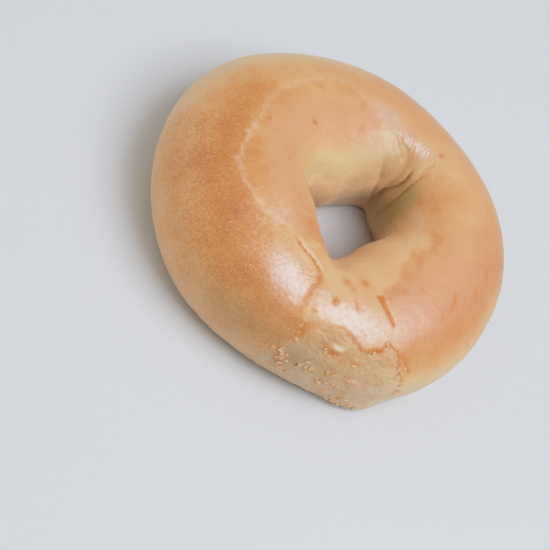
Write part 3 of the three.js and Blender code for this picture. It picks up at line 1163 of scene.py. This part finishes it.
# %% Shared group for a fine line along a path
def line_group():
    inputs = {"Side": 0.0, "Share": 0.0, "Half Width": 0.4, "Raggedness": 0.5}
    group, given = new_group("torn line", "ShaderNodeTree", inputs, ["Line"])
    place = group.nodes.new("ShaderNodeTexCoord").outputs["Object"]
    cloud = add(group, "ShaderNodeTexNoise", {"Vector": place, "Scale": 1 / (1.1 * MM), "Detail": 2.0})
    shift = calc(group, "MULTIPLY", calc(group, "SUBTRACT", cloud.outputs["Fac"], 0.5), given["Raggedness"])
    side = calc(group, "ABSOLUTE", calc(group, "ADD", given["Side"], shift))
    near = span(group, calc(group, "DIVIDE", side, given["Half Width"]), 0.4, 1.3, 1.0, 0.0, smooth=True)
    give(group, {"Line": calc(group, "MULTIPLY", near, given["Share"])})
    return group


LINE = line_group()
print("shared group:", LINE.name)

# %% [markdown]
# Fine wrinkles lie side by side, about a millimetre apart. They are a noise that is stretched along them,
# read at two distances in mm that the points hold: across the wrinkles and along them.

# %% Shared group for fine wrinkles
def wrinkle_group():
    inputs = {"Across": 0.0, "Along": 0.0, "Spacing": 1.0, "Length": 5.0}
    group, given = new_group("fine wrinkles", "ShaderNodeTree", inputs, ["Wrinkles"])
    place = add(group, "ShaderNodeCombineXYZ", {
        "X": calc(group, "DIVIDE", given["Across"], given["Spacing"]),
        "Y": calc(group, "DIVIDE", given["Along"], given["Length"]),
    })
    cloud = add(group, "ShaderNodeTexNoise", {"Vector": place.outputs[0], "Scale": 1.0, "Detail": 1.0})
    give(group, {"Wrinkles": calc(group, "SUBTRACT", cloud.outputs["Fac"], 0.5)})
    return group


WRINKLES = wrinkle_group()
print("shared group:", WRINKLES.name)

# %% [markdown]
# Colours are easiest to choose as they look on screen, from 0 to 255, but Blender mixes them as light, so
# they are made linear. A ramp turns the baking into a tone, and a mix lays a second tone over the first.

# %% Tones of the crust
def tone(red, green, blue):
    """A colour as it looks on screen, made linear for Blender."""
    shares = [c / 255 for c in (red, green, blue)]
    linear = [s / 12.92 if s <= 0.04045 else ((s + 0.055) / 1.055) ** 2.4 for s in shares]
    return (*linear, 1)


def ramp(tree, value, stops):
    node = add(tree, "ShaderNodeValToRGB", {"Fac": value})
    elements = node.color_ramp.elements
    for place, colour in stops[1:-1]:
        elements.new(place).color = colour
    elements[0].position, elements[0].color = stops[0]
    elements[-1].position, elements[-1].color = stops[-1]
    return node.outputs["Color"]


def mix(tree, share, first, second):
    node = add(tree, "ShaderNodeMix", data_type="RGBA")
    for socket, value in ((node.inputs["Factor"], share), (node.inputs[6], first), (node.inputs[7], second)):
        fill(tree, socket, value)
    return node.outputs[2]


def mask(tree, name):
    return add(tree, "ShaderNodeAttribute", attribute_name=name).outputs["Fac"]


# From raw dough to dark crust. The palest stop, at 0, is reached where painted light brightens the
# bottom of the hole, and on some crumbs.
TONE_STOPS = [
    (0.00, tone(250, 214, 166)),
    (0.12, tone(229, 192, 142)),
    (0.25, tone(234, 192, 138)),
    (0.42, tone(234, 179, 119)),
    (0.56, tone(227, 162, 92)),
    (0.70, tone(213, 139, 60)),
    (0.85, tone(198, 115, 38)),
    (1.00, tone(172, 92, 32)),
]
# The pink tone also serves as painted sheen, the olive one as painted shade, the whitish one as painted
# highlight
FLUSH_AND_SHEEN_TONE = tone(225, 156, 110)
PALE_AND_HIGHLIGHT_TONE = tone(236, 194, 168)
OLIVE_SHADE_TONE = tone(182, 148, 90)
SPLIT_TONE = tone(212, 120, 4)
PATCH_TONE = tone(209, 185, 144)
BUBBLE_TONE = tone(236, 200, 158)
print("tones from pale to dark:", len(TONE_STOPS))

# %% [markdown]
# The finest relief of the skin is bump, in real millimetres. It could be geometry too, but a mesh fine enough
# for it would be very heavy. Glazed skin is smoother, and gathered skin has deeper wrinkles.

# %% Relief of the crust
# Relief in mm, for the whole range of each structure
GRAIN_DEPTH, FRECKLE_DEPTH, PATCH_DEPTH = 0.08, 0.1, 0.3
WRINKLE_DEPTH, LIP_DEPTH = 0.1, 0.22


def crust_relief(tree, skin, glaze, patch, wrinkles):
    """The fine relief in mm. Glazed skin is smoother."""
    smoothed = span(tree, glaze, 0.0, 0.8, 1.0, 0.35)
    relief = calc(tree, "MULTIPLY", calc(tree, "MULTIPLY", skin["Grain"], GRAIN_DEPTH), smoothed)
    depth = calc(tree, "MULTIPLY_ADD", patch, PATCH_DEPTH, FRECKLE_DEPTH)
    relief = calc(tree, "MULTIPLY_ADD", skin["Freckle"], depth, relief)
    at_lip = calc(tree, "MULTIPLY", mask(tree, "gathered"), LIP_DEPTH)
    folded = calc(tree, "MULTIPLY_ADD", mask(tree, "wrinkled"), WRINKLE_DEPTH, at_lip)
    return calc(tree, "MULTIPLY_ADD", wrinkles, folded, relief)


print("relief on the torn patch, mm:", round(GRAIN_DEPTH + FRECKLE_DEPTH + PATCH_DEPTH, 2))

# %% [markdown]
# The baking picks the tone, which the skin's structure varies a little everywhere, and each cast is laid
# over it. Some casts are painted light: an olive painted shade, and whitish painted highlights and a pink
# painted sheen at the lip and on the glazed skins. The casts could be painted on an image, but masks on the
# points keep every one of them a number.

# %% Colour of the crust
# How much the skin's structure changes the baking
MOTTLED, FRECKLED, GRAINED = 0.24, 0.16, 0.5
PATCH_FLECKED, PATCH_MOTTLED = 0.28, 1.0
# How much of its own tone each cast brings
FLUSH_AND_SHEEN_SHARE, PATCH_SHARE, BUBBLE_SHARE = 0.75, 0.45, 0.5


def crust_colour(tree, skin, patch, coarse, wrinkles, split):
    """The baked tone, with each cast laid over it in turn."""
    baked = calc(tree, "MULTIPLY_ADD", skin["Mottle"], MOTTLED, mask(tree, "bake"))
    grained = calc(tree, "MULTIPLY", skin["Grain"], GRAINED)
    fine = calc(tree, "MULTIPLY_ADD", skin["Freckle"], FRECKLED, grained)
    baked = calc(tree, "MULTIPLY_ADD", fine, coarse, baked)
    torn = calc(tree, "MULTIPLY", skin["Mottle"], PATCH_MOTTLED)
    torn = calc(tree, "MULTIPLY_ADD", skin["Flecks"], PATCH_FLECKED, torn)
    baked = calc(tree, "MULTIPLY_ADD", torn, patch, baked)
    # Painted highlight: whitish streaks along the wrinkles at the lip
    painted_lip_streaks = calc(tree, "MULTIPLY", span(tree, wrinkles, -0.03, 0.14, 0.0, 0.8), mask(tree, "gathered"))
    bubbles = calc(tree, "MULTIPLY", calc(tree, "MULTIPLY", skin["Bubbles"], BUBBLE_SHARE), coarse)
    colour = ramp(tree, baked, TONE_STOPS)
    for share, cast in (
        # Pink cast: thin skin over the top, and painted sheen
        (calc(tree, "MULTIPLY", mask(tree, "flush"), FLUSH_AND_SHEEN_SHARE), FLUSH_AND_SHEEN_TONE),
        (calc(tree, "MULTIPLY", patch, PATCH_SHARE), PATCH_TONE),
        # Whitish cast: pale skin, and painted highlights
        (calc(tree, "MAXIMUM", mask(tree, "thin"), painted_lip_streaks), PALE_AND_HIGHLIGHT_TONE),
        # Olive cast: painted shade
        (mask(tree, "damp"), OLIVE_SHADE_TONE),
        (bubbles, BUBBLE_TONE),
        (split, SPLIT_TONE),
    ):
        colour = mix(tree, share, colour, cast)
    return colour


print("shares of flush, patch and bubbles:", FLUSH_AND_SHEEN_SHARE, PATCH_SHARE, BUBBLE_SHARE)

# %% [markdown]
# One Principled shader makes the crust. Several could be mixed, but one is easier to light and to export.
# Glazed skin is smoother and has a thin coat. Each fine line joins the splits in the colour and is cut into
# the relief, before both reach the shader.

# %% The crust's material
# Half width in mm, raggedness in mm, strength, depth in mm. The crack's first two are shares of its width.
LINES = {"flap": (0.42, 1.1, 0.95, 0.04), "tear": (0.28, 1.4, 0.7, 0.03), "crack": (1.1, 1.0, 1.0, 0.08)}
WRINKLE_SIZE = {"Spacing": 1.1, "Length": 5.0}  # mm
ROUGH_DULL, ROUGH_GLAZED = 0.6, 0.26
ROUGH_GRAIN, ROUGH_FRECKLE = 0.2, 0.4
COAT_SHARE = 0.4


def surface_of(tree, relief, values):
    """Ends a material with its one shader, whose normal is bent by a relief in mm."""
    bump = add(tree, "ShaderNodeBump", {"Height": relief, "Strength": 1.0, "Distance": MM})
    shader = add(tree, "ShaderNodeBsdfPrincipled", {"Normal": bump.outputs["Normal"], **values})
    surface = tree.nodes.new("ShaderNodeOutputMaterial")
    fill(tree, surface.inputs["Surface"], shader.outputs["BSDF"])


def crust_material(material):
    tree = material.node_tree
    tree.nodes.clear()
    skin = add(tree, "ShaderNodeGroup", node_tree=SKIN).outputs
    glaze, patch = mask(tree, "glaze"), mask(tree, "patch")
    sockets = {"Across": mask(tree, "across"), "Along": mask(tree, "along"), **WRINKLE_SIZE}
    wrinkles = add(tree, "ShaderNodeGroup", sockets, node_tree=WRINKLES).outputs["Wrinkles"]
    relief = crust_relief(tree, skin, glaze, patch, wrinkles)
    split = mask(tree, "split")
    for name, (half_width, raggedness, strength, depth) in LINES.items():
        sockets = {"Side": mask(tree, name + "_side"), "Share": mask(tree, name + "_share"),
                   "Half Width": half_width, "Raggedness": raggedness}
        line = add(tree, "ShaderNodeGroup", sockets, node_tree=LINE).outputs["Line"]
        split = calc(tree, "MAXIMUM", split, calc(tree, "MULTIPLY", line, strength))
        relief = calc(tree, "MULTIPLY_ADD", line, -depth, relief)
    glaze = calc(tree, "MULTIPLY", glaze, span(tree, split, 0.0, 0.8, 1.0, 0.3))
    roughness = span(tree, glaze, 0.0, 1.0, ROUGH_DULL, ROUGH_GLAZED)
    roughness = calc(tree, "MULTIPLY_ADD", skin["Grain"], ROUGH_GRAIN, roughness)
    roughness = calc(tree, "MULTIPLY_ADD", skin["Freckle"], ROUGH_FRECKLE, roughness)
    surface_of(tree, relief, {
        "Base Color": crust_colour(tree, skin, patch, mask(tree, "coarse"), wrinkles, split),
        "Roughness": roughness, "IOR": 1.8,
        "Coat Weight": calc(tree, "MULTIPLY", glaze, COAT_SHARE), "Coat Roughness": 0.25, "Coat IOR": 1.6,
        "Sheen Weight": 0.12, "Sheen Roughness": 0.4,
    })


crust_material(CRUST)
print("crust:", len(CRUST.node_tree.nodes), "nodes,", len(LINES), "lines")

# %% [markdown]
# Crumbs use the same tones, but each differs from the skin under it: some are dry and pale, some browned.
# They could share the crust's material, but its masks for glaze and splits mean nothing on a loose crumb.

# %% The crumbs' material
CRUMB_BAKED, CRUMB_START, CRUMB_FRECKLED = 0.5, 0.08, 1.2


def crumb_material(material):
    tree = material.node_tree
    tree.nodes.clear()
    skin = add(tree, "ShaderNodeGroup", {"Freckle Size": 2.2}, node_tree=SKIN).outputs
    baked = calc(tree, "MULTIPLY_ADD", mask(tree, "bake"), CRUMB_BAKED, CRUMB_START)
    baked = calc(tree, "MULTIPLY_ADD", skin["Freckle"], CRUMB_FRECKLED, baked)
    relief = calc(tree, "MULTIPLY", skin["Grain"], GRAIN_DEPTH)
    surface_of(tree, relief, {"Base Color": ramp(tree, baked, TONE_STOPS), "Roughness": 0.45})


crumb_material(CRUMB)
print("crumbs:", len(CRUMB.node_tree.nodes), "nodes")

# %% [markdown]
# The studio is plain: a wide pale floor that lies just under the base, so that the two don't flicker.
# An operator could add a plane, but operators depend on what is selected, and four points don't.

# %% Floor
FLOOR_SIZE = 3.0
FLOOR_DROP = 0.1 * MM
floor_mesh = bpy.data.meshes.new("studio_floor")
half = FLOOR_SIZE / 2
corners = [(-half, -half), (half, -half), (half, half), (-half, half)]
floor_mesh.from_pydata([(x, y, -FLOOR_DROP) for x, y in corners], [], [(0, 1, 2, 3)])
floor = bpy.data.objects.new("studio_floor", floor_mesh)
bpy.context.collection.objects.link(floor)
pale_floor = bpy.data.materials.new("pale floor")
pale_floor.use_nodes = True
floor_shader = pale_floor.node_tree.nodes["Principled BSDF"]
floor_shader.inputs["Base Color"].default_value = tone(220, 224, 224)
floor_shader.inputs["Roughness"].default_value = 0.6
floor_mesh.materials.append(pale_floor)
print("floor, m:", FLOOR_SIZE)

# %% [markdown]
# A picture of a room could light the scene, but plain lamps are easier to aim. One stands in for the window
# on the right. A wider and weaker one fills the shadows from the upper left, and the sky does the rest.

# %% Lamps and sky
# direction (right, up, back), distance and size in metres, power in watts, colour
LAMPS = {
    "window": ((0.66, 0.07, 0.75), 0.85, 0.6, 5.0, (0.90, 0.955, 1.12)),
    "fill": ((-0.66, 0.68, 0.30), 1.2, 1.2, 3.6, (1, 0.99, 0.97)),
}
SKY_COLOUR, SKY_STRENGTH = (0.95, 0.94, 0.94, 1), 0.43


def soft_lamp(name, direction, distance, size, power, colour):
    """A square lamp that looks at the ring from a direction given in the camera's own axes."""
    right, up, back = direction
    towards = (right * view_right + up * view_up + back * view_back).normalized()
    data = bpy.data.lights.new(name, "AREA")
    data.energy, data.size, data.color = power, size, colour
    lamp = bpy.data.objects.new(name, data)
    lamp.location = towards * distance
    lamp.rotation_euler = towards.to_track_quat("Z", "Y").to_euler()
    bpy.context.collection.objects.link(lamp)


for name, values in LAMPS.items():
    soft_lamp(name, *values)

world = bpy.data.worlds.new("pale sky")
world.use_nodes = True
sky = world.node_tree.nodes["Background"].inputs
sky["Color"].default_value = SKY_COLOUR
sky["Strength"].default_value = SKY_STRENGTH
bpy.context.scene.world = world
print("lamps:", list(LAMPS))

# %% [markdown]
# Bright places are held back softly, as in a pale print. A filmic view would do it too, but it also dulls the
# middle tones, so a curve is drawn that leaves them as they are.

# %% Curve of the bright tones
# (brightness in, brightness out)
SHOULDER = [(0.0, 0.0), (0.3, 0.3), (0.6, 0.6), (0.75, 0.7), (0.95, 0.79), (1.2, 0.86), (1.5, 0.9)]
view = bpy.context.scene.view_settings
view.view_transform = "Standard"
view.use_curve_mapping = True
brightest = SHOULDER[-1][0]
view.curve_mapping.white_level = (brightest, brightest, brightest)
curve = view.curve_mapping.curves[3]
curve.points[0].location = SHOULDER[0]
curve.points[1].location = (1.0, SHOULDER[-1][1])
for brightness, shown in SHOULDER[1:-1]:
    curve.points.new(brightness / brightest, shown)
view.curve_mapping.update()
print("brightest, in and out:", SHOULDER[-1])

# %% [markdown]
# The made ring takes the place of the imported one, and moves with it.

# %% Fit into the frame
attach(bagel, "root")
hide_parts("bagel")
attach(crumbs, "root")
